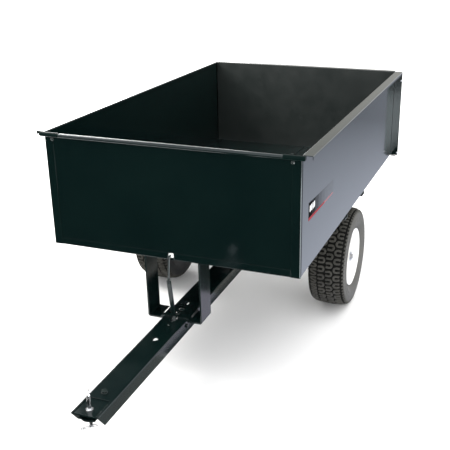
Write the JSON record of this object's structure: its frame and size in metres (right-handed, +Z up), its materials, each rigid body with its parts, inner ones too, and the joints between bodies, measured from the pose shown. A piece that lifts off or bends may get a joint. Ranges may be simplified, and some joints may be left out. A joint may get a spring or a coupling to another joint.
{
  "type": "tow behind cart",
  "caption": "Tow-behind dump cart: tipping steel box on two turf tyres, with a channel tongue, hitch pin, spring latch and lift-out tailgate.",
  "frame": {"origin": "centre of the whole cart's footprint, on the ground under the tyres", "axes": "+X to the cart's left-to-right width as seen from the tongue end, +Y from the tongue towards the tailgate, +Z up"},
  "size_m": [0.9274, 2.0154, 0.802],
  "materials": {
    "paint_dark_green": "gloss powder coat",
    "painted_fastener": "gloss paint",
    "zinc_fastener": "zinc plated, satin",
    "zinc_pin": "bright zinc",
    "spring_steel": "oiled spring wire",
    "axle_steel": "drawn bar",
    "spacer_steel": "black paint",
    "turf_rubber": "matte moulded rubber",
    "wheel_white": "gloss white enamel",
    "bush_plastic": "moulded nylon",
    "valve_rubber": "matte",
    "decal_film": "printed vinyl"
  },
  "bodies": {
    "tongue": {"tongue": "paint_dark_green", "hitch_plate": "paint_dark_green", "hitch_bracket": "paint_dark_green", "hitch_bolt": "zinc_fastener", "latch_stand": "paint_dark_green", "stand_bolts": "zinc_fastener", "latch_pivot_bolt": "zinc_fastener", "latch_spacers": "zinc_fastener", "latch_spring": "spring_steel", "axle": "axle_steel", "axle_spacers": "spacer_steel", "axle_washers": "zinc_fastener", "axle_cotter_pins": "zinc_fastener"},
    "hitch_pin": {"hitch_pin": "zinc_pin"},
    "hair_cotter": {"hair_cotter": "zinc_pin"},
    "latch_lever": {"latch_lever": "paint_dark_green"},
    "bed": {"front_panel": "paint_dark_green", "side_panel_left": "paint_dark_green", "side_panel_right": "paint_dark_green", "floor_left": "paint_dark_green", "floor_right": "paint_dark_green", "floor_seam_bolts": "painted_fastener", "corner_rivets": "painted_fastener", "tailgate_channel_left": "paint_dark_green", "tailgate_channel_right": "paint_dark_green", "channel_bolts": "zinc_fastener", "rim_cap_left": "paint_dark_green", "rim_cap_right": "paint_dark_green", "cross_member_front": "paint_dark_green", "cross_member_rear": "paint_dark_green", "axle_bracket_left": "paint_dark_green", "axle_bracket_right": "paint_dark_green", "bracket_bolts": "zinc_fastener", "side_decals": "decal_film"},
    "tailgate": {"tailgate": "paint_dark_green"},
    "wheel_left": {"tyre_left": "turf_rubber", "rim_outer_left": "wheel_white", "rim_inner_left": "wheel_white", "hub_left": "wheel_white", "hub_bushes_left": "bush_plastic", "valve_stem_left": "valve_rubber"},
    "wheel_right": {"tyre_right": "turf_rubber", "rim_outer_right": "wheel_white", "rim_inner_right": "wheel_white", "hub_right": "wheel_white", "hub_bushes_right": "bush_plastic", "valve_stem_right": "valve_rubber"}
  },
  "joints": [
    {"name": "bed_tip", "type": "hinge", "parent": "tongue", "child": "bed", "pos_m": [0, 0.26769, 0.195], "axis": [-1, 0, 0], "range_deg": [0, 31]},
    {"name": "wheel_left_spin", "type": "hinge", "parent": "tongue", "child": "wheel_left", "pos_m": [-0.37, 0.26769, 0.195], "axis": [1, 0, 0], "continuous": true},
    {"name": "wheel_right_spin", "type": "hinge", "parent": "tongue", "child": "wheel_right", "pos_m": [0.37, 0.26769, 0.195], "axis": [1, 0, 0], "continuous": true},
    {"name": "tailgate_lift", "type": "slide", "parent": "bed", "child": "tailgate", "axis": [0, 0, 1], "range_m": [0, 0.36]},
    {"name": "latch_pivot", "type": "hinge", "parent": "tongue", "child": "latch_lever", "pos_m": [0, -0.44719, 0.18202], "axis": [1, 0, 0], "range_deg": [-1.8, 22], "stiffness_Nm_per_rad": 0.6, "springref_deg": -11.46, "deforming": ["latch_spring"]},
    {"name": "hitch_pin_lift", "type": "slide", "parent": "tongue", "child": "hitch_pin", "axis": [0, -0.0182, 0.9998], "range_m": [0, 0.025]},
    {"name": "hair_cotter_pull", "type": "slide", "parent": "hitch_pin", "child": "hair_cotter", "axis": [-0.7071, -0.707, -0.0128], "range_m": [0, 0.05]}
  ]
}
